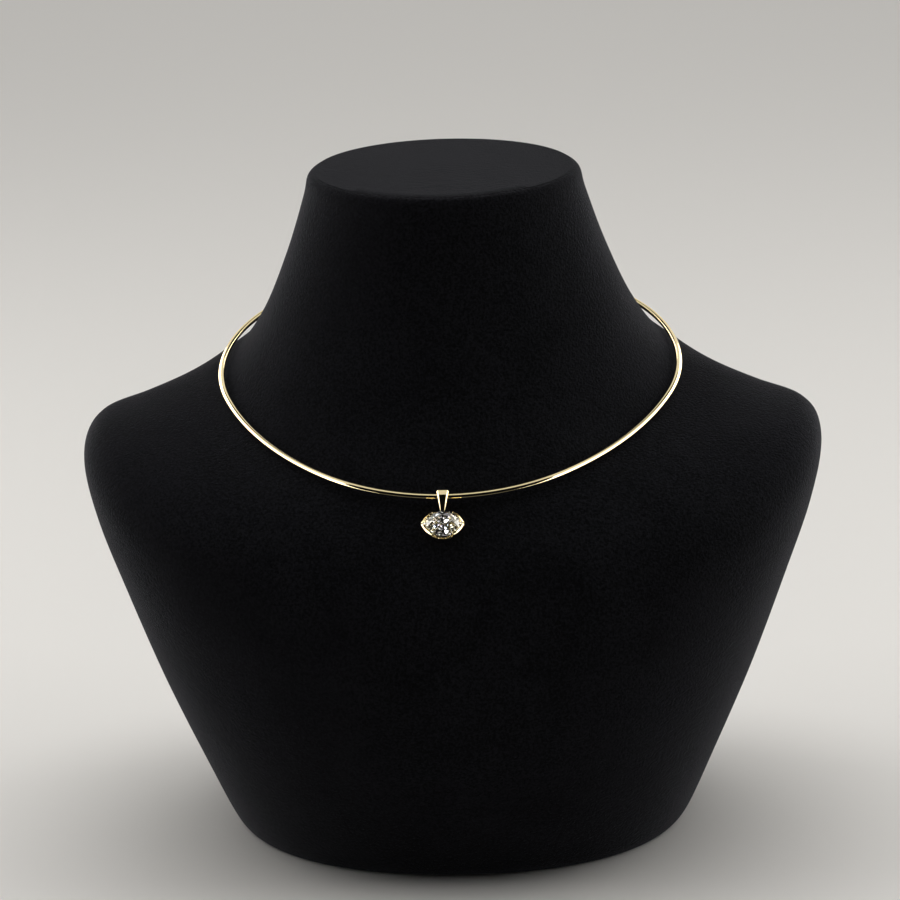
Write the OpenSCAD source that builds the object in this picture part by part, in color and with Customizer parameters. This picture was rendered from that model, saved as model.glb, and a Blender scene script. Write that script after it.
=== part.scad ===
// A solitaire pendant on a rigid gold neckwire, shown on a plain neck bust.
// The front faces -Y, and the origin is under the middle of the bust, on the surface it stands on.

/* [Neckwire] */
// Half the width of the collar, to the middle of its wire
collar_half = 69; // [60:0.5:72]
// Width of the flattened wire, in the plane of the collar
wire_w = 1.9; // [1.4:0.1:2]
// Thickness of the wire, across that plane
wire_t = 1.5; // [1:0.05:1.5]
// How far the collar leans down to the front, in degrees
collar_tilt = 18; // [18]

/* [Clasp] */
// Length of the barrel at the back
clasp_l = 11; // [8:0.5:14]
// Radius of the barrel
clasp_r = 1.7; // [1.5:0.1:1.8]
// Wall left between the two wire ends, halved
clasp_web = 0.4; // [0.3:0.1:0.8]

/* [Bail] */
// Width of the bail over the wire
bail_top_w = 3.7; // [3.4:0.1:4]
// Width of the bail where it meets the setting
bail_low_w = 1.15; // [1.1:0.05:1.6]
// Radius of the loop round the wire, inside
bail_r = 1.1; // [1.08:0.02:1.2]
// Thickness of the bail's band
bail_t = 0.62; // [0.5:0.02:0.65]
// Width of the bevel down each side of its front, at the top
bail_bevel = 0.45; // [0.25:0.05:0.5]

/* [Stone] */
// Length of the marquise, tip to tip
stone_l = 11.4; // [9:0.1:12]
// Width of the marquise
stone_w = 7.4; // [6:0.1:7.6]
// Height of the crown above the girdle
crown_h = 1.05; // [0.8:0.05:1.3]
// Depth of the pavilion below the girdle
pavilion_h = 3; // [2.6:0.05:3]
// Thickness of the girdle
girdle_h = 0.2; // [0.1:0.05:0.3]
// Size of the table, as a share of the outline
table_share = 0.58; // [0.5:0.01:0.65]

/* [Setting] */
// Distance from the wire's middle down to the stone's middle
drop = 8.4; // [8.2:0.1:9.5]
// Thickness of the bezel segments
bezel_t = 0.55; // [0.5:0.05:0.7]
// Height of the bevel round the outside of the bezel's top
bezel_bevel = 0.45; // [0.4:0.05:0.6]
// Half the opening between the segments, above and below the stone
side_gap = 2.8; // [2:0.1:3.2]
// Width of the slit at each tip
tip_slit = 0.3; // [0.2:0.05:0.4]
// How much smaller the gallery rail is than the bezel
rail_in = 0.35; // [0.2:0.05:0.5]
// How far the pendant's face looks up, in degrees
face_up = 34; // [34]

/* [Bust] */
// Height of the collar's middle above the base
collar_z = 142; // [142]

/* [Hidden] */
$fn = 96;
gold = [0.89, 0.76, 0.47];
velvet = [0.05, 0.05, 0.055];
diamond = [0.93, 0.95, 0.97, 0.7];
over = 1;           // how far a cutter reaches past what it cuts
join_slim = 0.02;   // how much slimmer all round an arc of the wire is that ends inside its neighbour
join_lap = 0.5;     // how far it runs in
end_ease = 0.3;     // from each end of the wire to the clasp's web
bore_ease = 0.2;    // clearance round the wire inside the clasp
ease = 0.05;        // clearance round the stone's girdle
girdle_back = 0.07; // how far the top of the girdle lies behind the bail's face
bezel_h = 0.5;      // how far the bezel stands above the girdle
lip_z = 0.23;       // height of the bezel's lip above the girdle
lip_in = 0.18;      // how far the lip reaches over the stone
seat_d = 0.35;      // depth of the ledge below the girdle
seat_in = 0.35;     // how far the ledge reaches under the stone
rail_h = 1;         // height of the gallery rail
claw_in = 0.75;     // how far the bezel reaches over the stone's tips
claw_h = 0.375;     // how much higher it rises there, on a slope
claw_run = 0.65;    // width of that slope
claw_back = 0.02;   // how far it starts inside the edge of the bezel's top
claw_ease = 0.1;    // straight down from there to the stone
slit_in = 1;        // how far a tip's slit runs in under the girdle, from the stone's tip
hole_in = 0.27;     // from that tip in to the drilled end of the slit above the girdle
hole_r = 0.28;
foot_h = 0.65;      // height of the bail's foot on the rail
foot_back = 0.35;   // how far the foot reaches behind the wire's middle
hole_tip = [0.15, 1.1]; // the lower point of the bail's opening, in from its back and up from its foot
shoulder_a = 20;    // how far the bail's shoulder leans back from its front, in degrees
shoulder_cut = 0.1; // how far the shoulder is cut into the round of the loop
shoulder_out = 0.16; // how far its top corner stands out of that round
bevel_low = 0.12;   // width of the bail's bevels at its foot
star_share = 0.55;  // height of the stars' corners, as a share of the crown
half_share = 0.76;  // depth of the halves' corners, as a share of the pavilion
table_round = 0.04; // how much larger the table's share is across than along
seat_taper = 0.1;   // how much further the ledge reaches in at the rail's foot

// Fields of a row of the bust
HALF_W = 0;
FRONT = 1;
BACK = 2;
SIDE_Z = 3;
FRONT_Z = 4;
BACK_Z = 5;
SQUARE = 6;
BACK_SQUARE = 7;

// The bust as rings about the collar's middle, from the base up. Each row holds the half width, the reach to
// the front and to the back, the ring's height at the side, front and back, and the squareness of its front half
// and its back half, 2 for an oval.
bust_rows = [
    [ 68.5, 56.5, 50.0, -143.0, -143.0, -143.0, 2.3, 2.3],
    [ 72.5, 60.5, 53.5, -138.5, -138.5, -138.5, 2.3, 2.3],
    [ 80.5, 69.0, 56.0, -119.0, -119.0, -119.0, 2.3, 2.3],
    [ 91.5, 77.0, 57.5,  -91.0,  -94.0,  -96.0, 2.3, 2.3],
    [102.0, 80.0, 58.5,  -60.0,  -74.0,  -76.0, 2.3, 2.3],
    [109.0, 79.4, 58.5,  -38.0,  -60.0,  -62.0, 2.3, 2.3],
    [111.5, 77.4, 58.5,  -22.0,  -50.0,  -52.0, 2.3, 2.3],
    [107.0, 74.6, 58.0,  -14.0,  -41.5,  -42.0, 2.25, 2.25],
    [ 96.0, 71.2, 56.5,  -10.5,  -34.6,  -28.0, 2.15, 2.15],
    [ 84.0, 66.9, 55.0,   -7.5,  -28.3,  -10.0, 2, 2.08],
    [ 75.0, 63.6, 52.8,   -4.8,  -23.6,    6.4, 1.9, 2.03],
    [ 66.0, 60.6, 49.8,    0.0,  -19.2,   18.4, 1.855, 2],
    [ 56.5, 49.8, 43.8,   14.0,   -3.0,   31.5, 1.93, 2],
    [ 48.0, 41.0, 38.0,   34.0,   20.0,   43.0, 2, 2],
    [ 42.0, 37.0, 36.0,   52.0,   47.0,   55.0, 2, 2],
    [ 40.4, 36.0, 35.5,   58.3,   56.5,   59.8, 2, 2],
    [ 38.2, 33.8, 33.3,   60.2,   58.5,   61.7, 2, 2]
];
bust_sides = 64;   // points in a ring
bust_steps = 2;    // rings from one row to the next

// The collar's front lies this far behind or before the origin, so that the bust stands centred
collar_y = (max([for (r = bust_rows) r[FRONT]]) - max([for (r = bust_rows) r[BACK]])) / 2;

// The collar's right half as tangent arcs from the front round to the back: radius for a half width of 1,
// and the direction that the arc has turned to at its end. The last radius closes the loop on the axis.
arc_r = [0.8774, 1.2622, 0.6927];
arc_end = [35, 68, 142, 180];
arc_start = [0, 35, 68, 142];

function open_x(i = 0) = i > 2 ? 0 : arc_r[i] * (sin(arc_end[i]) - sin(arc_start[i])) + open_x(i + 1);
last_r = open_x() / sin(arc_start[3]);
arc_radius = [for (r = concat(arc_r, [last_r])) r * collar_half];

// The arcs' middles: each lies on the line through the last one's middle and the point where they meet
function arc_mid(i) = i == 0 ? [0, 0] : arc_mid(i - 1)
    + (arc_radius[i - 1] - arc_radius[i]) * [sin(arc_start[i]), -cos(arc_start[i])];
// The widest point lies on the third arc and level with its middle, which is set at zero depth
depth_shift = -arc_mid(2)[1];
function arc_centre(i) = arc_mid(i) + [0, depth_shift];

wire_front = arc_radius[0] - arc_centre(0)[1];
wire_back = arc_radius[3] + arc_centre(3)[1];
wire_end_a = asin((clasp_web + end_ease) / arc_radius[3]);

hinge = [0, collar_y - wire_front * cos(collar_tilt), collar_z - wire_front * sin(collar_tilt)];

// Pendant levels, measured out from the wire's middle towards the viewer
bail_out = bail_r + bail_t;
girdle_high = bail_out - girdle_back;
girdle_low = girdle_high - girdle_h;
table_z = girdle_high + crown_h;
bezel_top = girdle_high + bezel_h;
lip_low = girdle_high + lip_z;
seat_z = girdle_low - seat_d;
rail_low = girdle_low - pavilion_h - ease;
rail_high = rail_low + rail_h;
foot_low = -drop + stone_w / 2 + ease;   // where the bail ends, clear of the girdle

// The marquise outline is two equal arcs
half_l = stone_l / 2;
half_w = stone_w / 2;
side_r = (half_l * half_l + half_w * half_w) / (2 * half_w);
side_mid = side_r - half_w;
side_a = asin(half_l / side_r);

// Turns what is made about the collar's own plane into its place
module at_collar() {
    translate([0, collar_y, collar_z])
        rotate([collar_tilt, 0, 0])
            children();
}

// Turns what is made upright about the wire, face towards -Y, into its place on the chest
module at_bail() {
    translate(hinge)
        rotate([-face_up, 0, 0])
            children();
}

// A ring's point: two half ovals drawn square by their exponents, whose height follows front, side and back
function power(v, n) = sign(v) * pow(abs(v), 2 / n);
function ring_point(row, a) =
    let (
        n = cos(a) > 0 ? row[SQUARE] : row[BACK_SQUARE],
        c = power(cos(a), n),
        s = power(sin(a), n),
        saddle = (row[FRONT_Z] + row[BACK_Z]) / 2 - row[SIDE_Z],
        lean = (row[FRONT_Z] - row[BACK_Z]) / 2
    )
    [
        row[HALF_W] * s,
        collar_y - (c > 0 ? row[FRONT] : row[BACK]) * c,
        collar_z + row[SIDE_Z] + saddle * c * c + lean * c
    ];

// A smooth curve through four rows, from the second to the third
function blend(a, b, c, d, t) =
    0.5 * (2 * b + (c - a) * t + (2 * a - 5 * b + 4 * c - d) * t * t + (3 * b - a - 3 * c + d) * t * t * t);

last_row = len(bust_rows) - 1;
function row_at(i) = bust_rows[min(max(i, 0), last_row)];
bust_rings = [
    for (i = [0 : last_row - 1], j = [0 : bust_steps - 1])
        blend(row_at(i - 1), row_at(i), row_at(i + 1), row_at(i + 2), j / bust_steps),
    row_at(last_row)
];

module bust_form() {
    n = bust_sides;
    top = len(bust_rings) - 1;
    points = [for (r = bust_rings, k = [0 : n - 1]) ring_point(r, 360 * k / n)];
    walls = [
        for (i = [0 : top - 1], k = [0 : n - 1])
            let (a = i * n + k, b = i * n + (k + 1) % n)
            each [[a, a + n, b + n], [a, b + n, b]]
    ];
    base = [[for (k = [0 : n - 1]) k]];
    cap = [[for (k = [n - 1 : -1 : 0]) top * n + k]];
    polyhedron(points, concat(walls, base, cap));
}

// The base is cut flat, so the bust stands on one face
module bust() {
    color(velvet)
        difference() {
            bust_form();
            translate([-100, -100, -10])
                cube([200, 200, 10]);
        }
}

module wire_section(slim) {
    flat = wire_w - wire_t;
    thick = wire_t - 2 * slim;
    square([flat, thick], center = true);
    for (side = [-1, 1])
        translate([side * flat / 2, 0])
            circle(d = thick);
}

// One arc of the wire, from one direction to another, counted from the front.
// Each second arc is a hair slimmer and runs a little way into its neighbours.
module wire_arc(i, from, to) {
    slim = i % 2 == 1 ? join_slim : 0;
    lap = i % 2 == 1 ? join_lap / arc_radius[i] * 180 / PI : 0;
    start = from - lap;
    end = i == 1 ? to + lap : to;
    translate(arc_centre(i))
        rotate([0, 0, start - 90])
            rotate_extrude(angle = end - start)
                translate([arc_radius[i], 0])
                    wire_section(slim);
}

module neckwire() {
    color(gold)
        at_collar() {
            wire_arc(0, -arc_end[0], arc_end[0]);
            for (side = [0, 1])
                mirror([side, 0, 0])
                    for (i = [1 : 3])
                        wire_arc(i, arc_start[i], i == 3 ? 180 - wire_end_a : arc_end[i]);
        }
}

// A plain straight barrel with a blind bore at each end for the wire, set halfway into the wire's curve
module clasp() {
    bore_r = wire_w / 2 + bore_ease;
    wire_sag = pow(clasp_l / 2, 2) / (2 * arc_radius[3]);
    color(gold)
        at_collar()
            translate([0, wire_back - wire_sag / 2, 0])
                rotate([0, 90, 0])
                    difference() {
                        cylinder(r = clasp_r, h = clasp_l, center = true);
                        for (end = [0, 1])
                            mirror([0, 0, end])
                                translate([0, 0, clasp_web])
                                    cylinder(r = bore_r, h = clasp_l);
                    }
}

// The marquise grown by a margin, or shrunk by a negative one
module marquise(low, high, grow, low_grow) {
    intersection_for (side = [-1, 1])
        translate([0, side * side_mid, low])
            cylinder(r1 = side_r + low_grow, r2 = side_r + grow, h = high - low);
}

// The bezel's walls, ledge and lip, made with the face up and the stone's middle on the axis
module bezel() {
    wall_top = bezel_top - bezel_bevel;
    wall_t = bezel_t - rail_in * bezel_bevel / (bezel_top - rail_low);
    difference() {
        union() {
            marquise(rail_low, wall_top, wall_t, bezel_t - rail_in);
            marquise(wall_top, bezel_top, bezel_t - bezel_bevel, wall_t);
        }
        marquise(rail_low - over, seat_z, -seat_in, -seat_in - seat_taper);
        marquise(seat_z, lip_low, ease, ease);
        marquise(lip_low, bezel_top + over, -lip_in, -lip_in);
        // openings above and below the stone, down to the rail
        for (side = [-1, 1])
            translate([-side_gap, side > 0 ? 0 : -half_w - over - bezel_t, rail_high])
                cube([2 * side_gap, half_w + over + bezel_t, bezel_top - rail_high + over]);
    }
}

// The claw that the bezel's walls form over the stone's right tip, hollowed by the stone itself
module claw() {
    edge = bezel_t - bezel_bevel - claw_back;
    difference() {
        intersection() {
            union() {
                marquise(lip_low, bezel_top, edge, edge);
                marquise(bezel_top, bezel_top + claw_h, edge - claw_run, edge);
            }
            translate([half_l - claw_in, -half_w, 0])
                cube([claw_in + over, stone_w, 2 * bezel_top]);
        }
        translate([0, 0, claw_ease])
            brilliant();
    }
}

// The slit at the right tip, down to the rail; above the girdle it ends in a drilled hole
module slit() {
    slit_h = bezel_top + claw_h + over;
    translate([half_l - slit_in, -tip_slit / 2, rail_high])
        cube([slit_in + bezel_t + over, tip_slit, girdle_high - rail_high]);
    translate([half_l - hole_in, -tip_slit / 2, girdle_high])
        cube([hole_in + bezel_t + over, tip_slit, slit_h - girdle_high]);
    translate([half_l - hole_in, 0, girdle_high])
        cylinder(r = hole_r, h = slit_h - girdle_high);
}

module collet() {
    difference() {
        union() {
            bezel();
            for (side = [0, 1])
                mirror([side, 0, 0])
                    claw();
        }
        for (side = [0, 1])
            mirror([side, 0, 0])
                slit();
    }
}

// The tangent points from p to a circle of radius r about the origin, on the side given
function touch(p, r, side) =
    let (d = norm(p), a = atan2(p[1], p[0]) + side * acos(r / d))
    r * [cos(a), sin(a)];

// The bail seen from its side: depth across, height up. Its front leans back to a corner over the wire.
module bail_side() {
    low_back = [-foot_back, foot_low];
    tip = [hole_tip[0] - bail_r, hole_tip[1] + foot_low];
    flat = bail_out - shoulder_cut;
    corner_a = 180 - shoulder_a - acos(flat / (bail_out + shoulder_out));
    corner = (bail_out + shoulder_out) * [cos(corner_a), sin(corner_a)];
    brow = [-bail_out, (flat - bail_out * cos(shoulder_a)) / sin(shoulder_a)];
    difference() {
        union() {
            circle(r = bail_out);
            polygon([brow, [-bail_out, foot_low], low_back, touch(low_back, bail_out, 1), [0, 0]]);
            polygon([brow, [0, 0], touch(corner, bail_out, -1), corner]);
            translate([-foot_back, foot_low])
                square([foot_back - rail_low, foot_h]);
        }
        circle(r = bail_r);
        polygon([touch(tip, bail_r, -1), tip, touch(tip, bail_r, 1)]);
        rotate(180 - shoulder_a)
            translate([flat, -drop])
                square(2 * drop);
    }
}

// The bail's front view: it narrows downwards
module bail_front() {
    top = bail_out + over;
    low = foot_low - over;
    slope = (bail_top_w - bail_low_w) / 2 / (bail_out - foot_low);
    top_half = bail_top_w / 2 + slope * over;
    low_half = bail_low_w / 2 - slope * over;
    polygon([[-top_half, top], [top_half, top], [low_half, low], [-low_half, low]]);
}

// The bevel's width, and half the bail's width, at a share of the way down from the loop's top to the foot
function bevel_w(down) = bail_bevel + (bevel_low - bail_bevel) * down;
function bail_half(down) = (bail_top_w + (bail_low_w - bail_top_w) * down) / 2;

// A bevel cutter down the right side of the bail's front
module bevel_cut() {
    past = 0.1;
    points = [
        for (down = [1 + past, -past])
            let (b = bevel_w(down), x = bail_half(down), z = bail_out + (foot_low - bail_out) * down)
            each [[x - 2 * b, -bail_out - b, z], [x + b, -bail_out + 2 * b, z], [x + b, -bail_out - b, z]]
    ];
    polyhedron(points, [[2, 1, 0], [3, 4, 5], [0, 1, 4, 3], [1, 2, 5, 4], [2, 0, 3, 5]]);
}

module bail() {
    difference() {
        intersection() {
            rotate([90, 0, 90])
                linear_extrude(height = bail_top_w + over, center = true)
                    bail_side();
            rotate([90, 0, 0])
                linear_extrude(height = 4 * bail_out, center = true)
                    bail_front();
        }
        for (side = [0, 1])
            mirror([side, 0, 0])
                bevel_cut();
    }
}

module bail_setting() {
    color(gold)
        at_bail() {
            bail();
            translate([0, 0, -drop])
                rotate([90, 0, 0])
                    collet();
        }
}

// A point of the stone's outline at a turn from the tip, evenly spaced along the arcs
function outline(turn) =
    let (
        t = (turn % 360 + 360) % 360,
        quarter = floor(t / 90),
        along = quarter % 2 == 0 ? t % 90 : 90 - t % 90,
        a = side_a * (1 - along / 90),
        x = side_r * sin(a),
        y = side_r * cos(a) - side_mid
    )
    [quarter == 1 || quarter == 2 ? -x : x, quarter > 1 ? -y : y];

mains = 8;
turn_step = 360 / mains;

// A main facet's plane holds the girdle point, the outline's direction there, and one inner point
function along_girdle(i) = outline((i + 0.5) * turn_step) - outline((i - 0.5) * turn_step);
function main_normal(i, gz, inner) =
    let (g = outline(i * turn_step), d = along_girdle(i), n = cross([d[0], d[1], 0], inner - [g[0], g[1], gz]))
    n / norm(n);
// Where two neighbouring main planes meet at a height
function crease(i, gz, inner_a, inner_b, z) =
    let (
        a = main_normal(i, gz, inner_a),
        b = main_normal(i + 1, gz, inner_b),
        ra = a * inner_a - a[2] * z,
        rb = b * inner_b - b[2] * z,
        det = a[0] * b[1] - a[1] * b[0]
    )
    [(ra * b[1] - rb * a[1]) / det, (a[0] * rb - b[0] * ra) / det, z];

function table_point(i) =
    let (g = outline(i * turn_step))
    [g[0] * table_share, g[1] * (table_share + table_round), table_z];

// The brilliant, face up: a table, stars, kites and girdle facets over mains and halves
module brilliant() {
    n = mains;
    star_z = girdle_high + star_share * crown_h;
    culet = [0, 0, girdle_low - pavilion_h];
    low_z = girdle_low - half_share * pavilion_h;
    table = [for (i = [0 : n - 1]) table_point(i)];
    stars = [for (i = [0 : n - 1]) crease(i, girdle_high, table_point(i), table_point(i + 1), star_z)];
    high = [for (i = [0 : 2 * n - 1]) let (g = outline(i * turn_step / 2)) [g[0], g[1], girdle_high]];
    low = [for (i = [0 : 2 * n - 1]) let (g = outline(i * turn_step / 2)) [g[0], g[1], girdle_low]];
    halves = [for (i = [0 : n - 1]) crease(i, girdle_low, culet, culet, low_z)];
    points = concat(table, stars, high, low, halves, [culet]);
    s = n;
    h = 2 * n;
    l = 4 * n;
    q = 6 * n;
    c = 7 * n;
    faces = concat(
        [[for (i = [n - 1 : -1 : 0]) i]],
        [for (i = [0 : n - 1]) let (j = (i + 1) % n) [i, j, s + i]],
        [for (i = [0 : n - 1]) let (p = (i + n - 1) % n) [i, s + i, h + 2 * i, s + p]],
        [for (i = [0 : n - 1]) let (m = 2 * i + 1, e = (2 * i + 2) % (2 * n))
            each [[s + i, h + m, h + 2 * i], [s + i, h + e, h + m]]],
        [for (k = [0 : 2 * n - 1]) let (m = (k + 1) % (2 * n)) [h + k, h + m, l + m, l + k]],
        [for (i = [0 : n - 1]) let (m = 2 * i + 1, e = (2 * i + 2) % (2 * n))
            each [[q + i, l + 2 * i, l + m], [q + i, l + m, l + e]]],
        [for (i = [0 : n - 1]) let (p = (i + n - 1) % n) [c, q + p, l + 2 * i, q + i]]
    );
    polyhedron(points, faces);
}

module stone() {
    color(diamond)
        at_bail()
            translate([0, 0, -drop])
                rotate([90, 0, 0])
                    brilliant();
}

bust();
neckwire();
clasp();
bail_setting();
stone();
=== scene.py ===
# A marquise solitaire on a rigid gold neckwire, shown on a black velvet neck bust.
# Metres, +Z up, the front towards -Y, the middle of the base at the origin.
import math

import bmesh
import bpy
import numpy as np
from mathutils import Matrix, Vector


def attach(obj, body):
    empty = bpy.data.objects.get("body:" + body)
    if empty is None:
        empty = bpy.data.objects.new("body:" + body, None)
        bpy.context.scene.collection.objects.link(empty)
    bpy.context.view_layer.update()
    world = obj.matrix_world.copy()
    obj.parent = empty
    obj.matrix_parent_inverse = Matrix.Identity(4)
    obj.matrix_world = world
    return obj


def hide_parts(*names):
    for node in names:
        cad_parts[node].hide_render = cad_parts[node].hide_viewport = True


mm = 0.001
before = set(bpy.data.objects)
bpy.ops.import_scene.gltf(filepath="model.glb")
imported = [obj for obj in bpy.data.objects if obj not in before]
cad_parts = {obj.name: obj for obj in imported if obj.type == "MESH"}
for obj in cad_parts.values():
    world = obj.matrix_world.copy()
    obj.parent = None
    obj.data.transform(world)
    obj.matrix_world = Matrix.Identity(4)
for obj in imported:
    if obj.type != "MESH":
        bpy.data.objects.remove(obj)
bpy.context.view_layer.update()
print("frame loaded")


def addObject(name, data):  # a new object in the scene, unturned and at the origin
    thing = bpy.data.objects.new(name, data)
    bpy.context.scene.collection.objects.link(thing)
    return thing


# Camera

collar = {"middle": (0, 10.75 * mm, 142 * mm), "tilt": 18}  # its plane leans down to the front, in degrees

cameraView = {
    "azimuth": 2.8,  # degrees round to the right of the front
    "elevation": 16,
    "distance": 0.849,  # from the collar's middle
    "tilt": -1.79,  # the line of sight passes a little under that middle
    "pan": -0.05,
    "roll": -1.8,
    "lens": 112.4,
    "nearest": 0.02,  # anything nearer isn't drawn
}


def placeCamera(view):
    a, e = math.radians(view["azimuth"]), math.radians(view["elevation"])
    back = Vector((math.sin(a) * math.cos(e), -math.cos(a) * math.cos(e), math.sin(e)))
    data = bpy.data.cameras.new("camera")
    data.lens = view["lens"]
    data.clip_start = view["nearest"]
    camera = addObject("camera", data)
    turn = (-back).to_track_quat("-Z", "Y").to_matrix().to_4x4()
    for angle, axis in ((-view["pan"], "Y"), (view["tilt"], "X"), (view["roll"], "Z")):
        turn = turn @ Matrix.Rotation(math.radians(angle), 4, axis)
    camera.matrix_world = Matrix.Translation(Vector(collar["middle"]) + view["distance"] * back) @ turn
    bpy.context.scene.camera = camera


placeCamera(cameraView)
print("camera placed")


# Materials

def linear(hexColor):  # sRGB hex to a linear colour
    c = np.array([int(hexColor[i:i + 2], 16) for i in (0, 2, 4)]) / 255
    return (*np.where(c <= 0.04045, c / 12.92, ((c + 0.055) / 1.055) ** 2.4).tolist(), 1)


def perSize(size):  # a noise scale that gives patches about this many millimetres across
    return 1 / (size * mm)


def addNode(tree, kind, inputs, **settings):  # a node with its settings, and its inputs set or linked
    node = tree.nodes.new(kind)
    for key, value in settings.items():
        setattr(node, key, value)
    for name, value in inputs.items():
        if isinstance(value, bpy.types.NodeSocket):
            tree.links.new(value, node.inputs[name])
        else:
            node.inputs[name].default_value = value
    return node


def newMaterial(name):  # a material whose nodes are all still to be added
    material = bpy.data.materials.new(name)
    material.use_nodes = True
    material.node_tree.nodes.clear()
    return material, material.node_tree


velvetLook = {
    "pile": 0.8,  # millimetres: the real pile is about 0.1 mm across, and is drawn coarser so that it shows
    "pileDepth": 0.4,
    "nap": 22,  # millimetres across the patches where the pile leans one way
    "napLow": 0.85,  # how much of its brightness the pile keeps where it leans away
    "dark": "020203",
    "pale": "161619",
    "sheen": 0.2,
    "sheenTint": "D0D0D8",
}


def makeVelvet(look):  # short black cotton velvet: matt, swallows light, and its pile only greys at grazing edges
    material, tree = newMaterial("blackVelvet")
    place = addNode(tree, "ShaderNodeTexCoord", {}).outputs["Object"]
    pile = addNode(tree, "ShaderNodeTexNoise", {
        "Vector": place, "Scale": perSize(look["pile"]), "Detail": 3, "Roughness": 0.7})
    nap = addNode(tree, "ShaderNodeTexNoise", {
        "Vector": place, "Scale": perSize(look["nap"]), "Detail": 3, "Distortion": 0.6})
    lay = addNode(tree, "ShaderNodeMapRange", {
        "Value": nap.outputs["Fac"], "From Min": 0.3, "From Max": 0.7, "To Min": look["napLow"]})
    both = addNode(tree, "ShaderNodeMath", {0: pile.outputs["Fac"], 1: lay.outputs[0]}, operation="MULTIPLY")
    shade = addNode(tree, "ShaderNodeMapRange", {"Value": both.outputs[0], "From Min": 0.35, "From Max": 0.6})
    tint = addNode(tree, "ShaderNodeMix", {
        "Factor": shade.outputs[0], "A": linear(look["dark"]), "B": linear(look["pale"])}, data_type="RGBA")
    rough = addNode(tree, "ShaderNodeMapRange", {"Value": pile.outputs["Fac"], "To Min": 0.82, "To Max": 1})
    bump = addNode(tree, "ShaderNodeBump", {
        "Height": pile.outputs["Fac"], "Strength": 1, "Distance": look["pileDepth"] * mm})
    surface = addNode(tree, "ShaderNodeBsdfPrincipled", {
        "Base Color": tint.outputs[2], "Roughness": rough.outputs[0], "Normal": bump.outputs[0],
        "Specular IOR Level": 0.04, "Sheen Weight": look["sheen"], "Sheen Roughness": 0.25,
        "Sheen Tint": linear(look["sheenTint"])})
    addNode(tree, "ShaderNodeOutputMaterial", {"Surface": surface.outputs[0]})
    return material


goldLook = {
    "color": "F3E0B0",
    "ripple": 2.5,  # millimetres across the waves that the mop leaves
    "rippleDepth": 0.05,
    "haze": 0.5,  # millimetres across the patches of its finest scratches
    "rough": (0.03, 0.08),
}


def makeGold(look):  # pale 18 carat yellow gold, mopped to a mirror, with the mop's faint ripple
    material, tree = newMaterial("polishedYellowGold")
    place = addNode(tree, "ShaderNodeTexCoord", {}).outputs["Object"]
    ripple = addNode(tree, "ShaderNodeTexNoise", {"Vector": place, "Scale": perSize(look["ripple"]), "Detail": 2})
    haze = addNode(tree, "ShaderNodeTexNoise", {"Vector": place, "Scale": perSize(look["haze"]), "Detail": 4})
    low, high = look["rough"]
    rough = addNode(tree, "ShaderNodeMapRange", {"Value": haze.outputs["Fac"], "To Min": low, "To Max": high})
    bump = addNode(tree, "ShaderNodeBump", {
        "Height": ripple.outputs["Fac"], "Strength": 0.15, "Distance": look["rippleDepth"] * mm})
    surface = addNode(tree, "ShaderNodeBsdfPrincipled", {
        "Base Color": linear(look["color"]), "Metallic": 1, "Roughness": rough.outputs[0],
        "Normal": bump.outputs[0]})
    addNode(tree, "ShaderNodeOutputMaterial", {"Surface": surface.outputs[0]})
    return material


def makeDiamond():  # cut and polished diamond: bends light hard; its facets carry a painted tint, with painted fire and a painted reflection of the gold
    material, tree = newMaterial("cutDiamond")
    # the facet tint: clear, with painted fire and a painted reflection of the gold in it
    paintedFireAndGoldTint = addNode(tree, "ShaderNodeAttribute", {}, attribute_name="paintedFireAndGoldTint")
    surface = addNode(tree, "ShaderNodeBsdfPrincipled", {
        "Base Color": paintedFireAndGoldTint.outputs["Color"], "Roughness": 0, "IOR": 2.42, "Transmission Weight": 1})
    addNode(tree, "ShaderNodeOutputMaterial", {"Surface": surface.outputs[0]})
    return material


velvet = makeVelvet(velvetLook)
gold = makeGold(goldLook)
diamond = makeDiamond()
print("materials made")


# Meshes from grids of points

weld = 0.0005 * mm  # points nearer to each other than this become one


def gridFaces(rows, columns, wrapRows, wrapColumns):  # the four corners of each cell, as rows of indices
    i, j = np.meshgrid(np.arange(rows - (not wrapRows)), np.arange(columns - (not wrapColumns)), indexing="ij")
    nextI, nextJ = (i + 1) % rows, (j + 1) % columns
    corners = [i * columns + j, i * columns + nextJ, nextI * columns + nextJ, nextI * columns + j]
    return np.stack(corners, -1).reshape(-1, 4)


def makePiece(name, grids, material, place=None, sharpAt=32):
    # grids are (points, wrapRows, wrapColumns); a row that shrinks to one point closes an end
    # sharpAt is the least angle in degrees between two faces at which their edge is drawn sharp
    verts, faces, count = [], [], 0
    for points, wrapRows, wrapColumns in grids:
        rows, columns = points.shape[:2]
        faces.append(gridFaces(rows, columns, wrapRows, wrapColumns) + count)
        verts.append(points.reshape(-1, 3))
        count += rows * columns
    verts, faces = np.concatenate(verts), np.concatenate(faces)
    mesh = bpy.data.meshes.new(name)
    mesh.from_pydata(verts * mm, [], faces.tolist())
    if place is not None:
        mesh.transform(place)
    form = bmesh.new()
    form.from_mesh(mesh)
    bmesh.ops.remove_doubles(form, verts=form.verts, dist=weld)
    bmesh.ops.dissolve_degenerate(form, edges=form.edges, dist=weld)
    bmesh.ops.recalc_face_normals(form, faces=form.faces)
    form.to_mesh(mesh)
    form.free()
    mesh.polygons.foreach_set("use_smooth", np.ones(len(mesh.polygons), bool))
    mesh.set_sharp_from_angle(angle=math.radians(sharpAt))
    mesh.materials.append(material)
    return addObject(name, mesh)


# Neck bust: rings about the collar's middle, heights in millimetres from it

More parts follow.
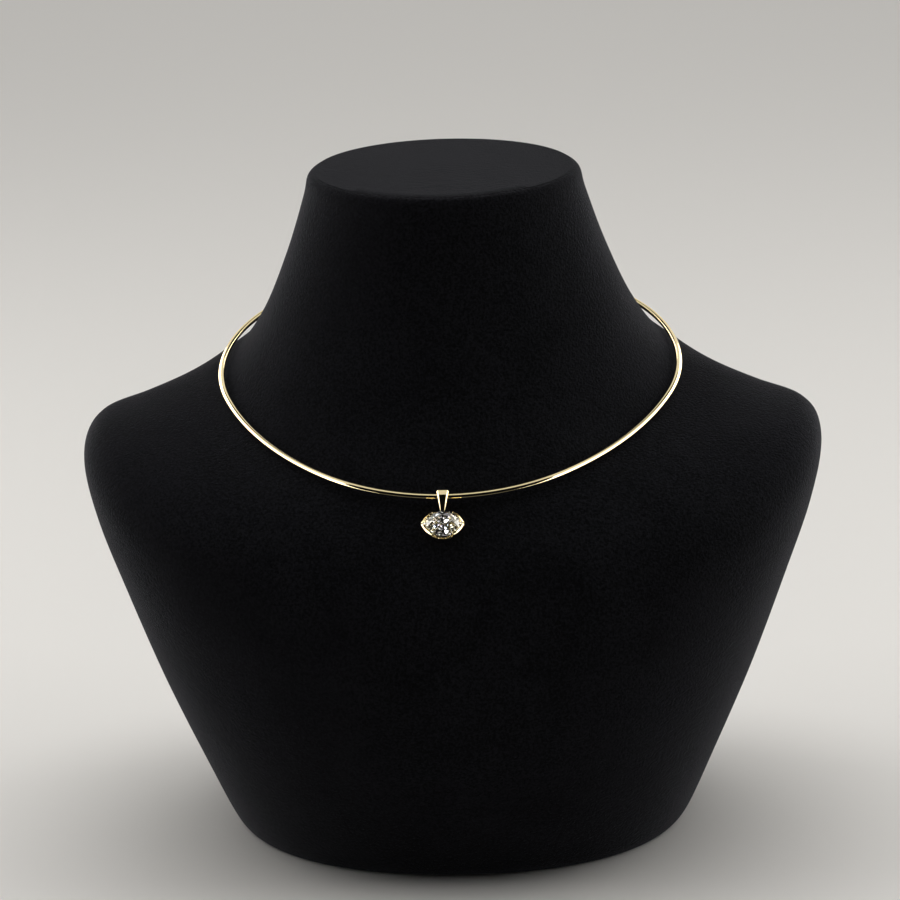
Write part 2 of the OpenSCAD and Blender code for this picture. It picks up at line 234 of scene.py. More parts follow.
bust = {
    "around": 288,  # points in a ring
    "between": 12,  # rings from one row to the next
    "capRings": 10,
    # half width, reach to the front and the back, height at the side, front and back, squareness of each half
    "rows": [
        [68.5, 56.5, 50.0, -143.0, -143.0, -143.0, 2.3, 2.3],
        [72.5, 60.5, 53.5, -138.5, -138.5, -138.5, 2.3, 2.3],
        [80.5, 69.0, 56.0, -119.0, -119.0, -119.0, 2.3, 2.3],
        [91.5, 77.0, 57.5, -91.0, -94.0, -96.0, 2.3, 2.3],
        [102.0, 80.0, 58.5, -60.0, -74.0, -76.0, 2.3, 2.3],
        [109.0, 79.4, 58.5, -38.0, -60.0, -62.0, 2.3, 2.3],
        [111.5, 77.4, 58.5, -22.0, -50.0, -52.0, 2.3, 2.3],
        [107.0, 74.6, 58.0, -14.0, -41.5, -42.0, 2.25, 2.25],
        [96.0, 71.2, 56.5, -10.5, -34.6, -28.0, 2.15, 2.15],
        [84.0, 66.9, 55.0, -7.5, -28.3, -10.0, 2, 2.08],
        [75.0, 63.6, 52.8, -4.8, -23.6, 6.4, 1.9, 2.03],
        [66.0, 60.6, 49.8, 0.0, -19.2, 18.4, 1.855, 2],
        [56.5, 49.8, 43.8, 14.0, -3.0, 31.5, 1.93, 2],
        [48.0, 41.0, 38.0, 34.0, 20.0, 43.0, 2, 2],
        [42.0, 37.0, 36.0, 52.0, 47.0, 55.0, 2, 2],
        [40.4, 36.0, 35.5, 58.3, 56.5, 59.8, 2, 2],
        [38.2, 33.8, 33.3, 60.2, 58.5, 61.7, 2, 2],
    ],
}


def blendRows(rows, between):
    # Catmull-Rom: a cubic through each pair of rows whose slopes follow their neighbours
    padded = np.concatenate([rows[:1], rows, rows[-1:]])
    t = (np.arange(between) / between)[None, :, None]
    a, b, c, d = (padded[k:k + len(rows) - 1, None, :] for k in range(4))
    curve = 0.5 * (2 * b + (c - a) * t + (2 * a - 5 * b + 4 * c - d) * t**2 + (3 * b - a - 3 * c + d) * t**3)
    return np.concatenate([curve.reshape(-1, rows.shape[1]), rows[-1:]])


def bustSurface(size):
    # Each ring is two half ovals drawn square by their exponents; its height is a saddle plus a lean to the front
    rings = blendRows(np.array(size["rows"]), size["between"])
    half, front, back, sideZ, frontZ, backZ, square, backSquare = (column[:, None] for column in rings.T)
    angle = np.linspace(0, 2 * np.pi, size["around"], endpoint=False)[None, :]
    power = 2 / np.where(np.cos(angle) > 0, square, backSquare)
    c = np.sign(np.cos(angle)) * np.abs(np.cos(angle)) ** power
    s = np.sign(np.sin(angle)) * np.abs(np.sin(angle)) ** power
    saddle, lean = (frontZ + backZ) / 2 - sideZ, (frontZ - backZ) / 2
    middle = np.array(collar["middle"]) / mm
    x = half * s
    y = middle[1] - np.where(c > 0, front, back) * c
    z = np.maximum(middle[2] + sideZ + saddle * c * c + lean * c, 0)
    side = np.stack([x, y, z], -1)
    # the flat ends are the last ring drawn in to its own middle
    shrink = np.linspace(0, 1, size["capRings"])[:, None, None]
    top = side[-1:] + (side[-1:].mean(1, keepdims=True) - side[-1:]) * shrink
    base = side[:1] + (side[:1].mean(1, keepdims=True) - side[:1]) * shrink[::-1]
    return np.concatenate([base[:-1], side, top[1:]])


bustPiece = makePiece("bustVelvet", [(bustSurface(bust), False, True)], velvet)
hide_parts("bust")
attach(bustPiece, "display")
print("bust made")


# Neckwire

wire = {
    "halfWidth": 69,  # of the collar, to the wire's middle
    "radii": [0.8774, 1.2622, 0.6927],  # of the arcs from the front round, for a half width of 1
    "ends": [35, 68, 142, 180],  # direction each arc has turned to, in degrees
    "width": 1.9,
    "thickness": 1.5,
    "endGap": 0.7,  # half the gap between its ends, inside the clasp
    "around": 40,
    "along": 900,
}


def collarArcs(size):
    # The arcs meet with one tangent; the last radius brings the loop back to the axis
    ends = np.radians(size["ends"])
    starts = np.concatenate([[0], ends[:-1]])
    radii = np.array(size["radii"]) * size["halfWidth"]
    openX = (radii * (np.sin(ends[:3]) - np.sin(starts[:3]))).sum()
    radii = np.append(radii, openX / math.sin(starts[3]))
    steps = (radii[:-1] - radii[1:])[:, None] * np.stack([np.sin(starts[1:]), -np.cos(starts[1:])], -1)
    middles = np.concatenate([[[0, 0]], np.cumsum(steps, 0)])
    return ends, radii, middles - [0, middles[2, 1]]


arcEnds, arcRadii, arcMiddles = collarArcs(wire)
wireFront = arcRadii[0] - arcMiddles[0, 1]
wireBack = arcRadii[3] + arcMiddles[3, 1]
collarPlace = Matrix.Translation(collar["middle"]) @ Matrix.Rotation(math.radians(collar["tilt"]), 4, "X")
hinge = collarPlace @ Vector((0, -wireFront * mm, 0))  # the wire's middle at the front, which the pendant turns about


def wireSurface(size):
    # An oval carried round the arcs: out along the arc's own radius, and up across the collar's plane
    stop = math.pi - math.asin(size["endGap"] / arcRadii[3])
    turn = np.linspace(-stop, stop, size["along"])
    which = np.searchsorted(arcEnds, np.abs(turn)).clip(max=len(arcEnds) - 1)
    middle = arcMiddles[which] * np.stack([np.sign(turn), np.ones_like(turn)], -1)
    phase = np.linspace(0, 2 * np.pi, size["around"], endpoint=False)[None, :]
    reach = arcRadii[which][:, None] + size["width"] / 2 * np.cos(phase)
    x = middle[:, :1] + reach * np.sin(turn)[:, None]
    y = middle[:, 1:] - reach * np.cos(turn)[:, None]
    tube = np.stack([x, y, np.broadcast_to(size["thickness"] / 2 * np.sin(phase), x.shape)], -1)
    ends = [np.broadcast_to(tube[k].mean(0), tube[k].shape)[None] for k in (0, -1)]
    return np.concatenate([ends[0], tube, ends[1]])


wirePiece = makePiece("neckwireGold", [(wireSurface(wire), False, True)], gold, collarPlace)
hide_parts("neckwire")
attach(wirePiece, "display")
print("neckwire made")


# Clasp

clasp = {
    "halfLength": 5.5,
    "radius": 1.7,
    "crown": 0.1,  # how much the barrel thins to its ends
    "edge": 0.4,  # rounding of its ends
    "edgeFrom": -2,  # degrees from the axis at which that rounding starts
    "bore": 1.15,
    "mouth": 0.12,  # length of the slight flare at the bore's end
    "web": 0.4,  # half the wall between the wire's ends
    "around": 64,
    "alongSide": 16,  # points from an end's rounding to the middle
    "alongEdge": 10,
}


def arcPoints(centre, radius, start, end, count):  # points along an arc, angles in degrees from +X
    a = np.radians(np.linspace(start, end, count))
    return np.stack([centre[0] + radius * np.cos(a), centre[1] + radius * np.sin(a)], -1)


def claspSurface(size):
    # A profile of length and radius turned about the barrel's axis: web, bore, rounded end and crowned side
    length, edge = size["halfLength"], size["edge"]
    endRadius = size["radius"] - size["crown"]
    crown = np.linspace(length - edge, 0, size["alongSide"])
    half = np.concatenate([
        [[size["web"], 0], [size["web"], size["bore"]], [length - size["mouth"], size["bore"]]],
        arcPoints((length - edge, endRadius - edge), edge, size["edgeFrom"], 90, size["alongEdge"]),
        np.stack([crown, size["radius"] - size["crown"] * (crown / (length - edge)) ** 2], -1)[1:],
    ])
    profile = np.concatenate([half, half[-2::-1] * [-1, 1]])
    turn = np.linspace(0, 2 * np.pi, size["around"], endpoint=False)[None, :]
    along, radius = profile[:, :1], profile[:, 1:]
    return np.stack([np.broadcast_to(along, (len(profile), size["around"])), radius * np.cos(turn),
                     radius * np.sin(turn)], -1)


wireSag = clasp["halfLength"] ** 2 / (2 * arcRadii[3])  # the barrel is straight, and lies halfway down the wire's bow
claspPlace = collarPlace @ Matrix.Translation((0, (wireBack - wireSag / 2) * mm, 0))
claspPiece = makePiece("claspGold", [(claspSurface(clasp), False, True)], gold, claspPlace)
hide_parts("clasp")
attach(claspPiece, "display")
print("clasp made")


# Bail and setting, upright about the wire's middle, face towards -Y, tipped back into place at the end

pendant = {"lookUp": 34, "drop": 8.4}  # degrees, and millimetres from the wire's middle to the stone's
faceFront = Matrix.Rotation(math.pi / 2, 4, "X")  # the stone and what holds it are drawn face up
pendantPlace = Matrix.Translation(hinge) @ Matrix.Rotation(math.radians(-pendant["lookUp"]), 4, "X")
stonePlace = pendantPlace @ Matrix.Translation((0, 0, -pendant["drop"] * mm)) @ faceFront

stone = {
    "length": 11.4,
    "width": 7.4,
    "crown": 1.05,
    "pavilion": 3,
    "girdle": 0.2,
    "girdleTop": 1.65,  # how far it lies in front of the wire's middle
    "table": 0.58,  # share of the outline
}

bail = {
    "topWidth": 3.7,
    "lowWidth": 1.15,
    "bore": 1.1,  # radius inside the loop
    "band": 0.62,  # thickness of the band
    "shoulder": (20, 0.1, 0.16),  # lean in degrees, cut into the loop's round, and how far its corner stands out
    "bevel": (0.45, 0.12),  # width at the top and at the foot
    "foot": -4.65,  # height of its lower end, on the setting
    "footBack": 0.35,
    "tip": (-0.95, -3.55),  # lower point of its opening: depth, height
    "tipRound": 0.1,
    "deepest": 0.8,  # the most of the band's thickness that the bevel takes
    "arris": (0.05, 0.4),  # rounding of its edges, and the most of the bevel that it takes
    "insideBevel": 0.04,  # beyond that rounding, inside the loop
    "straights": (24, 8, 20),  # points down its front, across its foot and up its back
    "loopPoints": 64,
    "frontTurns": (175, 177.5, 179),  # more points near the front, in degrees
    "cornerTurns": (-1.5, -0.5, 0.5, 1.5),  # and on both sides of the shoulder's corner
}


def tangentPoint(point, radius, side):  # where a line from a point touches a circle about the origin
    point = np.array(point)
    a = math.atan2(point[1], point[0]) + side * math.acos(radius / np.hypot(*point))
    return radius * np.array([math.cos(a), math.sin(a)])


def alongLine(start, end, count):
    return np.linspace(start, end, count, endpoint=False)


def loopReach(size, turn):
    # How far the loop's outside lies from the wire's middle: a circle whose front top is three lines instead, the
    # one that touches the circle, the shoulder and the bail's front, and the nearest of the three counts
    outerR = size["bore"] + size["band"]
    lean, cut, out = size["shoulder"]
    corner = 180 - lean - math.degrees(math.acos((outerR - cut) / (outerR + out)))
    touch = corner - math.degrees(math.acos(outerR / (outerR + out)))
    steepest = 80  # degrees; past that a line is far out, and never the nearest
    lines = [reach / np.cos(np.radians(np.clip(turn - normal, -steepest, steepest)))
             for reach, normal in ((outerR, touch), (outerR - cut, 180 - lean), (outerR, 180))]
    return np.where(turn > touch, np.minimum.reduce(lines), outerR), corner


def bailSurface(size):
    # Two matched outlines of depth and height, outer and inner, carry a bevelled section across the width
    outerR, tip = size["bore"] + size["band"], np.array(size["tip"])
    lowFront, lowBack = np.array([-outerR, size["foot"]]), np.array([-size["footBack"], size["foot"]])
    outerTouch, innerTouch = tangentPoint(lowBack, outerR, 1), tangentPoint(tip, size["bore"], 1)
    innerFront = tangentPoint(tip, size["bore"], -1)
    outerAngle, innerAngle = (math.degrees(math.atan2(*p[::-1])) for p in (outerTouch, innerTouch))
    frontAngle = math.degrees(math.atan2(*innerFront[::-1])) % 360
    counts = size["straights"]
    turn = np.radians(np.linspace(180, 360, counts[1], endpoint=False))
    r = size["tipRound"]
    # the arc blunts the tip by half of its own radius
    tipArc = tip + [r, 1.5 * r] + r * np.stack([np.cos(turn), np.sin(turn)], -1)
    corner = loopReach(size, 180)[1]
    loop = np.unique(np.concatenate([
        np.linspace(outerAngle, 180, size["loopPoints"]),
        corner + np.array(size["cornerTurns"]), size["frontTurns"]]))
    reach = loopReach(size, loop)[0][:, None]
    loopOuter = reach * np.stack([np.cos(np.radians(loop)), np.sin(np.radians(loop))], -1)
    innerLoop = np.radians(np.interp(loop, [outerAngle, 180], [innerAngle, frontAngle]))
    outer = np.concatenate([
        alongLine((-outerR, 0), lowFront, counts[0]), alongLine(lowFront, lowBack, counts[1]),
        alongLine(lowBack, outerTouch, counts[2]), loopOuter])
    loopInner = size["bore"] * np.stack([np.cos(innerLoop), np.sin(innerLoop)], -1)
    inner = np.concatenate([
        alongLine(innerFront, tipArc[0], counts[0]), tipArc,
        alongLine(tipArc[-1], innerTouch, counts[2]), loopInner])
    slope = (size["topWidth"] - size["lowWidth"]) / 2 / (outerR - size["foot"])
    down = (outerR - outer[:, 1]) / (outerR - size["foot"])
    bevel = size["bevel"][0] + (size["bevel"][1] - size["bevel"][0]) * down
    thick = np.linalg.norm(outer - inner, axis=1)
    depth = 1 - np.minimum(bevel / thick, size["deepest"])  # share of the band below the bevel
    one = np.ones_like(depth)
    edge = np.minimum(size["arris"][0], bevel * size["arris"][1])
    halfway = 0.7  # of the rounding, at the middle of its curve
    rows = []
    # (share of the way out, inset of the half width), from the inner face round to the outer and back
    for side in (-1, 1):
        steps = [(0 * one, size["insideBevel"] + edge), (edge / thick, 0.0), (depth, 0.0),
                 (depth + edge / thick, edge * halfway), (one - edge / thick, bevel - edge * halfway),
                 (one, bevel + edge)]
        rows += [(share, inset, side) for share, inset in (steps if side < 0 else steps[::-1])]
    grid = []
    for share, inset, side in rows:
        point = inner + (outer - inner) * share[:, None]
        half = size["topWidth"] / 2 - slope * (outerR - point[:, 1]) - inset
        grid.append(np.stack([side * half, point[:, 0], point[:, 1]], -1))
    return np.array(grid)


collet = {
    "wall": 0.55,  # bezel outside the stone, at its top
    "railIn": 0.35,  # how much smaller the rail is
    "top": 2.15,
    "bevel": 0.45,  # up the outside of the bezel's top
    "lip": 1.88,
    "lipIn": 0.18,
    "seat": 1.1,
    "seatIn": 0.35,
    "railTop": -0.6,
    "railLow": -1.6,
    "ease": 0.05,
    "sideGap": 2.8,  # half the opening above and below the stone
    "slit": 0.15,  # half the slit at each tip
    "hole": (0.2, -0.27, 0.2),  # how much wider the slit's end is, where along the lip, and over what length
    "claw": (0.5, 0.37, 0.62),  # how far the lip grows in over a tip, how much it rises, and where that starts
    "clawThin": 0.05,  # how much more its underside rises
    "lap": 0.2,  # how far the segments reach down into the rail
    "lean": (0.04, 0.046, 0.073),  # of the inner wall, at the segments' foot and the rail's top and foot
    "round": 0.14,
    "end": 0.07,  # rounding of a segment's two ends
    "alongSegment": 24,
    "alongRail": 64,
}
bar = {  # from the bail's foot back to the rail
    "height": 0.65,
    "halfWidth": 0.57,
    "round": 0.1,
    "top": (0.3, 0.35),  # how far forward its sides and its face reach
    "backShare": 0.95,  # how much of its section its back keeps
}
halfLength, halfWidth = stone["length"] / 2, stone["width"] / 2
sideRadius = (halfLength**2 + halfWidth**2) / (2 * halfWidth)  # the outline is two arcs of this radius
sideMiddle = sideRadius - halfWidth


def roundedLoop(corners, radius, count=5, most=0.45):
    # Each corner of a closed outline becomes a quadratic curve between two points a little way along its sides,
    # which lie the radius away, or the most of the shorter side that a corner may take
    corners = np.array(corners, float)
    before, after = np.roll(corners, 1, 0) - corners, np.roll(corners, -1, 0) - corners
    lengths = [np.linalg.norm(v, axis=1, keepdims=True) for v in (before, after)]
    cut = np.minimum(np.minimum(*lengths) * most, radius)
    start, end = corners + before / lengths[0] * cut, corners + after / lengths[1] * cut
    t = np.linspace(0, 1, count)[None, :, None]
    curve = start[:, None] * (1 - t) ** 2 + 2 * corners[:, None] * t * (1 - t) + end[:, None] * t**2
    return curve.reshape(-1, 2)


def wallAt(size, height):  # how far the outer wall stands outside the stone's outline
    share = (height - size["railLow"]) / (size["top"] - size["railLow"])
    return size["wall"] - size["railIn"] * (1 - share)


def segmentSection(size, claw):
    # Offset from the stone's outline and height, where the lip has grown into the claw by this share
    low, bevelLow = size["railTop"] - size["lap"], size["top"] - size["bevel"]
    grow, rise = size["claw"][:2]
    inner = -size["lipIn"] - grow * claw
    outerTop = size["wall"] - size["bevel"]
    innerTop, innerLow = size["top"] + rise * claw, size["lip"] + (rise + size["clawThin"]) * claw
    across = np.linspace(outerTop, inner, 6)[1:-1]
    top = [(x, size["top"] + (innerTop - size["top"]) * (outerTop - x) / (outerTop - inner)) for x in across]
    return roundedLoop([
        (wallAt(size, low), low), (wallAt(size, bevelLow), bevelLow), (outerTop, size["top"]), *top,
        (inner, innerTop), (inner, innerLow), (size["ease"], size["lip"]), (size["ease"], size["seat"]),
        (-size["seatIn"], size["seat"]), (-size["seatIn"] - size["lean"][0], low)], size["round"])


def segmentSurface(size, sideX, sideY):
    # The wall's section swept along one arc, from the side opening to the slit at the tip
    edge, count = size["end"], size["alongSegment"]
    # shares of the way along, and how far the section is drawn in at each; 1 draws it to its own middle
    along = np.concatenate([[0, 0, 0.012, 0.035], np.linspace(0.06, 0.94, count), [0.965, 0.988, 1, 1]])
    inset = np.concatenate([[1, edge, edge * 0.3, 0], np.zeros(count), [0, edge * 0.3, edge, 1]])
    wider, where, length = size["hole"]
    grid = []
    for share, draw in zip(along, inset):
        t = min(max((share - size["claw"][2]) / (1 - size["claw"][2]), 0), 1)
        section = segmentSection(size, t * t * (3 - 2 * t))
        inward = section.mean(0) - section
        shape = section + (inward if draw == 1 else np.sign(inward) * draw)
        radius = sideRadius + shape[:, 0]
        start = np.arcsin(size["sideGap"] / radius)
        slit = size["slit"] + wider * np.exp(-((shape[:, 0] - where) / length) ** 2) * (shape[:, 1] > size["seat"])
        end = np.arccos((slit + sideMiddle) / radius)
        angle = start + share * (end - start)
        grid.append(np.stack([sideX * radius * np.sin(angle), sideY * (radius * np.cos(angle) - sideMiddle),
                              shape[:, 1]], -1))
    return np.array(grid)


def railSurface(size):
    # A section swept along both arcs; at each tip the arcs of every offset meet at their own point
    low, high = size["railLow"], size["railTop"]
    section = roundedLoop([
        (wallAt(size, low), low), (wallAt(size, high), high),
        (-size["seatIn"] - size["lean"][1], high), (-size["seatIn"] - size["lean"][2], low)], size["round"])
    radius = sideRadius + section[:, 0]
    reach = np.arccos(sideMiddle / radius)
    share = np.linspace(-1, 1, size["alongRail"])[:, None]
    angle = share * reach
    x, y = radius * np.sin(angle), radius * np.cos(angle) - sideMiddle
    z = np.broadcast_to(section[:, 1], x.shape)
    upper, lower = np.stack([x, y, z], -1), np.stack([x[::-1], -y[::-1], z], -1)
    return np.concatenate([upper, lower[1:-1]])


def barSurface(size, low, back):
    # A rounded rectangle carried forward from the rail's back, along the stone's axis
    halfX, high, edge = size["halfWidth"], low + size["height"], size["round"]
    section = roundedLoop([(-halfX, low), (halfX, low), (halfX, high), (-halfX, high)], edge)
    depths = [back, back, back + edge, *size["top"], size["top"][1]]
    scale = [0, size["backShare"], 1, 1, 1, 0]
    centre = section.mean(0)
    return np.array([np.concatenate([centre + (section - centre) * k, np.full((len(section), 1), z)], 1)
                     for z, k in zip(depths, scale)])


def moved(points, matrix):  # a grid's points under a matrix whose shift is in millimetres
    turn = np.array(matrix)
    return points @ turn[:3, :3].T + turn[:3, 3]


intoBail = Matrix.Translation((0, 0, -pendant["drop"])) @ faceFront
barGrid = barSurface(bar, halfWidth + collet["ease"], collet["railLow"])
settingGrids = [(bailSurface(bail), True, True), (moved(railSurface(collet), intoBail), True, True),
                (moved(barGrid, intoBail), False, True)]
for sideX in (-1, 1):
    for sideY in (-1, 1):
        settingGrids.append((moved(segmentSurface(collet, sideX, sideY), intoBail), False, True))
settingPiece = makePiece("bailSettingGold", settingGrids, gold, pendantPlace, sharpAt=40)
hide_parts("bail_setting")
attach(settingPiece, "pendant")
print("bail and setting made")


# Stone: the space inside all of its facets' planes

cut = {
    "mains": 8,
    "starHeight": 0.55,  # share of the crown
    "halfDepth": 0.76,  # share of the pavilion
    "girdleFacets": 36,  # along each arc
    "tableStretch": 0.04,
    "clear": "FCFCFC",
    # painted reflection: a straw tint for the gold round the ends seen through the stone
    "paintedGoldReflection": "F2EED2",
    "paintedGoldFrom": 0.5,  # share of the half length from which a facet is all the painted gold reflection
    # painted fire: blue and violet tints for the colour that the crown's upper facets split off the light: tint, then
    # from and to where along the half length
    "paintedFire": (("C9DCFF", -0.3, -0.02), ("E2CCFF", 0, 0.34)),
    "paintedFireAbove": 0.25,  # share of the half width above which the painted fire lies
}


def outlinePoint(turn):  # a point of the outline, evenly spaced along its arcs from the tip, for turns in degrees
    turn = np.mod(turn, 360)
    quarter = np.floor(turn / 90).astype(int)
    share = np.where(quarter % 2 == 0, turn % 90, 90 - turn % 90) / 90
    a = math.asin(halfLength / sideRadius) * (1 - share)
    x, y = sideRadius * np.sin(a), sideRadius * np.cos(a) - sideMiddle
    return np.stack([np.where((quarter == 1) | (quarter == 2), -x, x), np.where(quarter > 1, -y, y)], -1)


def planeThrough(a, b, c):  # planes through rows of three points, their normals away from the stone's middle
    normal = np.cross(b - a, c - a)
    normal /= np.linalg.norm(normal, axis=1, keepdims=True)
    reach = (normal * a).sum(1, keepdims=True)
    inside = np.array([0, 0, stone["girdleTop"] - stone["girdle"] / 2])
    flip = np.sign(reach - (normal @ inside)[:, None])
    return np.concatenate([normal, reach], 1) * flip


def atHeight(points, z):
    return np.concatenate([points, np.full((len(points), 1), z)], 1)


def meetAt(planes, nextPlanes, z):  # where neighbouring planes cross at a height
    left = planes[:, 3] - planes[:, 2] * z
    right = nextPlanes[:, 3] - nextPlanes[:, 2] * z
    det = planes[:, 0] * nextPlanes[:, 1] - planes[:, 1] * nextPlanes[:, 0]
    x = (left * nextPlanes[:, 1] - right * planes[:, 1]) / det
    y = (planes[:, 0] * right - nextPlanes[:, 0] * left) / det
    return atHeight(np.stack([x, y], -1), z)


def facetPlanes():
    # Mains hold the girdle's direction; stars, halves and girdle facets fit between them
    step = 360 / cut["mains"]
    turns = np.arange(cut["mains"]) * step
    high, low = stone["girdleTop"], stone["girdleTop"] - stone["girdle"]
    main, between = outlinePoint(turns), outlinePoint(turns + step / 2)
    along = atHeight(between - outlinePoint(turns - step / 2), 0)
    table = atHeight(main * [stone["table"], stone["table"] + cut["tableStretch"]], high + stone["crown"])
    culet = np.broadcast_to([0, 0, low - stone["pavilion"]], table.shape)
    planes = [np.array([[0, 0, 1, high + stone["crown"]]])]
    for z, inner, meetZ in ((high, table, high + cut["starHeight"] * stone["crown"]),
                            (low, culet, low - cut["halfDepth"] * stone["pavilion"])):
        mains = planeThrough(atHeight(main, z), atHeight(main, z) + along, inner)
        meet = meetAt(mains, np.roll(mains, -1, 0), meetZ)
        planes += [mains, planeThrough(meet, atHeight(main, z), atHeight(between, z)),
                   planeThrough(meet, atHeight(between, z), atHeight(np.roll(main, -1, 0), z))]
        if z == high:
            planes.append(planeThrough(table, np.roll(table, -1, 0), meet))
    widest = math.asin(halfLength / sideRadius)
    a = (np.arange(cut["girdleFacets"]) + 0.5) / cut["girdleFacets"] * 2 * widest - widest
    for side in (-1, 1):
        planes.append(np.stack([np.sin(a), side * np.cos(a), 0 * a, sideRadius - sideMiddle * np.cos(a)], -1))
    return np.concatenate(planes)


def facetPolygons(planes, near=1e-6, flat=1e-5, digits=5):
    # Every three planes meet at a point, by Cramer's rule; the stone's corners are those inside all planes
    # near is how far outside still counts as inside, and planes whose determinant is below flat don't meet
    i, j, k = np.array([(a, b, c) for a in range(len(planes)) for b in range(a) for c in range(b)]).T
    n, d = planes[:, :3], planes[:, 3:]
    jk, ki, ij = np.cross(n[j], n[k]), np.cross(n[k], n[i]), np.cross(n[i], n[j])
    det = (n[i] * jk).sum(1, keepdims=True)
    keep = np.abs(det[:, 0]) > flat
    points = (d[i] * jk + d[j] * ki + d[k] * ij)[keep] / det[keep]
    points = points[(points @ n.T <= d.T + near).all(1)]
    points = np.unique(points.round(digits), axis=0)
    polygons = []
    for normal, reach in zip(n, d):
        own = np.flatnonzero(np.abs(points @ normal - reach) < 2 * flat)
        if len(own) < 3:
            continue
        spread = points[own] - points[own].mean(0)
        side = np.cross(normal, spread[0])
        polygons.append(own[np.argsort(np.arctan2(spread @ side, spread @ np.cross(side, normal)))].tolist())
    return points, polygons


def makeStone():
    points, polygons = facetPolygons(facetPlanes())
    mesh = bpy.data.meshes.new("stoneDiamond")
    mesh.from_pydata(points * mm, [], polygons)
    mesh.transform(stonePlace)
    form = bmesh.new()
    form.from_mesh(mesh)
    bmesh.ops.recalc_face_normals(form, faces=form.faces)
    form.to_mesh(mesh)
    form.free()
    mesh.polygons.foreach_set("use_smooth", np.zeros(len(mesh.polygons), bool))
    paintedFireAndGoldTint = mesh.attributes.new("paintedFireAndGoldTint", "FLOAT_COLOR", "FACE")
    # painted reflection: a straw tint towards the two ends, standing in for the gold round them seen through the
    # stone, and clear in the middle
    middles = np.array([points[polygon].mean(0) for polygon in polygons])
    end = np.clip(np.abs(middles[:, :1]) / halfLength / cut["paintedGoldFrom"], 0, 1)
    tints = np.array(linear(cut["clear"])) * (1 - end) + np.array(linear(cut["paintedGoldReflection"])) * end
    x, y, z = middles.T
    # painted fire on the crown's upper facets
    upper = (z > stone["girdleTop"]) & (y > cut["paintedFireAbove"] * halfWidth)
    for tint, start, stop in cut["paintedFire"]:
        tints[upper & (x > start * halfLength) & (x < stop * halfLength)] = linear(tint)
    paintedFireAndGoldTint.data.foreach_set("color", tints.astype(np.float32).ravel())
    mesh.materials.append(diamond)
    return addObject("stoneDiamond", mesh)


stonePiece = makeStone()
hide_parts("stone")
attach(stonePiece, "pendant")
print("stone cut, facets:", len(stonePiece.data.polygons))


# Floor and light

floor = {
    "half": 8,  # metres from its middle to each side
    "color": "E6E3DE",
    "cloud": 180,  # millimetres across its faintly glossier patches
    "rough": (0.75, 0.9),
}


def makeFloor(size):  # matt painted board: even, pale and without shine
    material, tree = newMaterial("palePaintedBoard")
    place = addNode(tree, "ShaderNodeTexCoord", {}).outputs["Object"]
    cloud = addNode(tree, "ShaderNodeTexNoise", {"Vector": place, "Scale": perSize(size["cloud"]), "Detail": 2})
    low, high = size["rough"]
    rough = addNode(tree, "ShaderNodeMapRange", {"Value": cloud.outputs["Fac"], "To Min": low, "To Max": high})
    surface = addNode(tree, "ShaderNodeBsdfPrincipled", {
        "Base Color": linear(size["color"]), "Roughness": rough.outputs[0], "Specular IOR Level": 0})
    addNode(tree, "ShaderNodeOutputMaterial", {"Surface": surface.outputs[0]})
    h = size["half"]
    mesh = bpy.data.meshes.new("floor")
    mesh.from_pydata([(-h, -h, 0), (h, -h, 0), (h, h, 0), (-h, h, 0)], [], [(0, 1, 2, 3)])
    mesh.materials.append(material)
    piece = addObject("floor", mesh)
    piece.visible_glossy = False  # polished metal sees the walls go on below the floor, as in a white table top


cards = {
    # what the metal alone mirrors: centre and facing in metres, brightness, width and height in metres
    "leftCard": {"place": (-0.8, 0.3, 0.27), "facing": (1, 0, 0), "glow": 3.4, "size": (1.9, 1.54)},
    "rightCard": {"place": (0.8, 0.3, 0.27), "facing": (-1, 0, 0), "glow": 3.4, "size": (1.9, 1.54)},
    "leftRear": {"place": (-0.95, 0.95, 0.98), "facing": (0.95, -0.95, -0.8), "glow": 2.8, "size": (0.75, 0.95)},
    "rightRear": {"place": (0.95, 0.95, 0.98), "facing": (-0.95, -0.95, -0.8), "glow": 2.8, "size": (0.75, 0.95)},
    "leftTable": {"place": (-1.06, 0, -0.6), "facing": (0, 0, 1), "glow": 2.8, "size": (0.88, 1.44)},
    "rightTable": {"place": (1.06, 0, -0.6), "facing": (0, 0, 1), "glow": 2.8, "size": (0.88, 1.44)},
    "ceilingCard": {"place": (0, 0.07, 1.35), "facing": (0, 0, -1), "glow": 0.78, "size": (2.1, 1.05)},
    "backCard": {"place": (0, 1.3, 0.9), "facing": (0, -1, 0), "glow": 0.85, "size": (1.6, 2)},
    "frontTable": {"place": (0, -0.5, -0.45), "facing": (0, 0, 1), "glow": 0.15, "size": (1.1, 0.7)},
}
sparks = [
    # small square lamps that face the pendant, for the stone alone: place and width in metres, and brightness
    (-0.45, -0.75, 0.55, 0.24, 14),
    (0.3, -0.6, 0.9, 0.24, 14),
    (-0.8, -0.2, 0.5, 0.36, 9),
    (0.8, -0.2, 0.5, 0.36, 9),
    (0.1, 0.1, 1.3, 0.36, 8),
    (-0.9, 0.5, 0.3, 0.72, 5),
    (0.9, 0.5, 0.3, 0.72, 5),
    (-0.7, -0.1, -0.5, 0.6, 4),
    (0.7, -0.1, -0.5, 0.6, 4),
]
lamps = {
    # what lights the velvet and the floor, given in the same way
    "leftSoftbox": {"place": (-0.75, 0.1, 0.6), "facing": (1, -0.1, -0.6), "glow": 2.2, "size": (0.7, 0.6)},
    "rightSoftbox": {"place": (0.75, 0.1, 0.6), "facing": (-1, -0.1, -0.6), "glow": 2.2, "size": (0.7, 0.6)},
}
skylight = {"strength": 1.9, "angle": 60, "tilt": -12}  # a wide soft sun: its breadth and its lean in degrees
room = {
    "dark": (0.004, 0.004, 0.004, 1),  # what the metal and the stone see past the lamps
    "far": "B6B4B0",  # what the camera sees past the floor
}
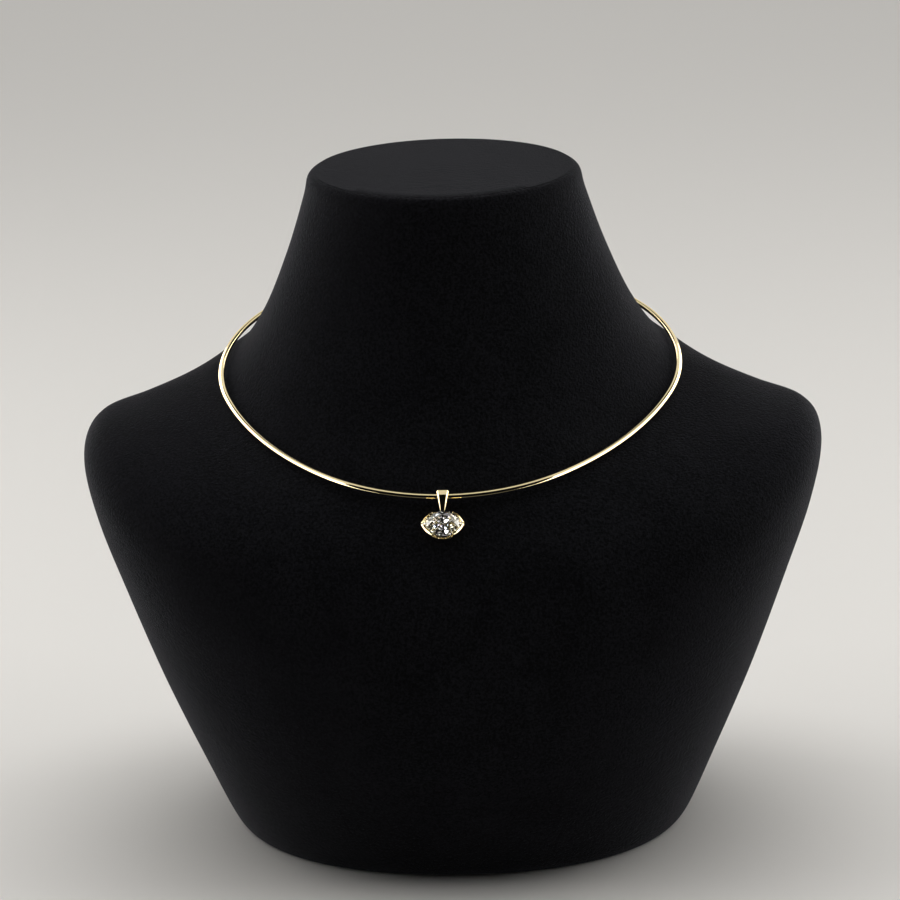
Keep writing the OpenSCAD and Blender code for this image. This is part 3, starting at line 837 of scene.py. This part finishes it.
insideBounces = 24  # light is thrown about inside the stone many times before it finds a way out


def placePanel(name, panel):
    data = bpy.data.lights.new(name, "AREA")
    data.shape = "RECTANGLE"
    width, height = data.size, data.size_y = panel["size"]
    data.energy = panel["glow"] * math.pi * width * height  # the watts that make its face so bright
    lamp = addObject(name, data)
    lamp.location = panel["place"]
    lamp.rotation_mode = "QUATERNION"
    lamp.rotation_quaternion = Vector(panel["facing"]).to_track_quat("-Z", "Y")
    lamp.visible_camera = False
    return lamp


def placeLights():
    for name, card in cards.items():
        lamp = placePanel(name, card)
        lamp.visible_diffuse = lamp.visible_transmission = False
    for *place, width, glow in sparks:
        panel = {"place": place, "facing": hinge - Vector(place), "glow": glow, "size": (width, width)}
        lamp = placePanel("spark", panel)
        lamp.visible_diffuse = lamp.visible_glossy = False
    for name, panel in lamps.items():
        lamp = placePanel(name, panel)
        lamp.visible_glossy = lamp.visible_transmission = False
    data = bpy.data.lights.new("skylight", "SUN")
    data.energy, data.angle = skylight["strength"], math.radians(skylight["angle"])
    lamp = addObject("skylight", data)
    lamp.rotation_euler = (math.radians(skylight["tilt"]), 0, 0)
    lamp.visible_glossy = lamp.visible_transmission = False
    bpy.context.scene.view_settings.view_transform = "Standard"
    paths = bpy.context.scene.cycles
    paths.max_bounces = paths.glossy_bounces = paths.transmission_bounces = insideBounces


def makeWorld(size):  # a dark room, but the camera sees the floor's far colour go on above it
    world = bpy.data.worlds.new("studio")
    bpy.context.scene.world = world
    world.use_nodes = True
    tree = world.node_tree
    tree.nodes.clear()
    seen = addNode(tree, "ShaderNodeLightPath", {}).outputs["Is Camera Ray"]
    dark = addNode(tree, "ShaderNodeBackground", {"Color": size["dark"]})
    far = addNode(tree, "ShaderNodeBackground", {"Color": linear(size["far"])})
    both = addNode(tree, "ShaderNodeMixShader", {0: seen, 1: dark.outputs[0], 2: far.outputs[0]})
    addNode(tree, "ShaderNodeOutputWorld", {"Surface": both.outputs[0]})


makeFloor(floor)
placeLights()
makeWorld(room)
print("floor and lights placed")
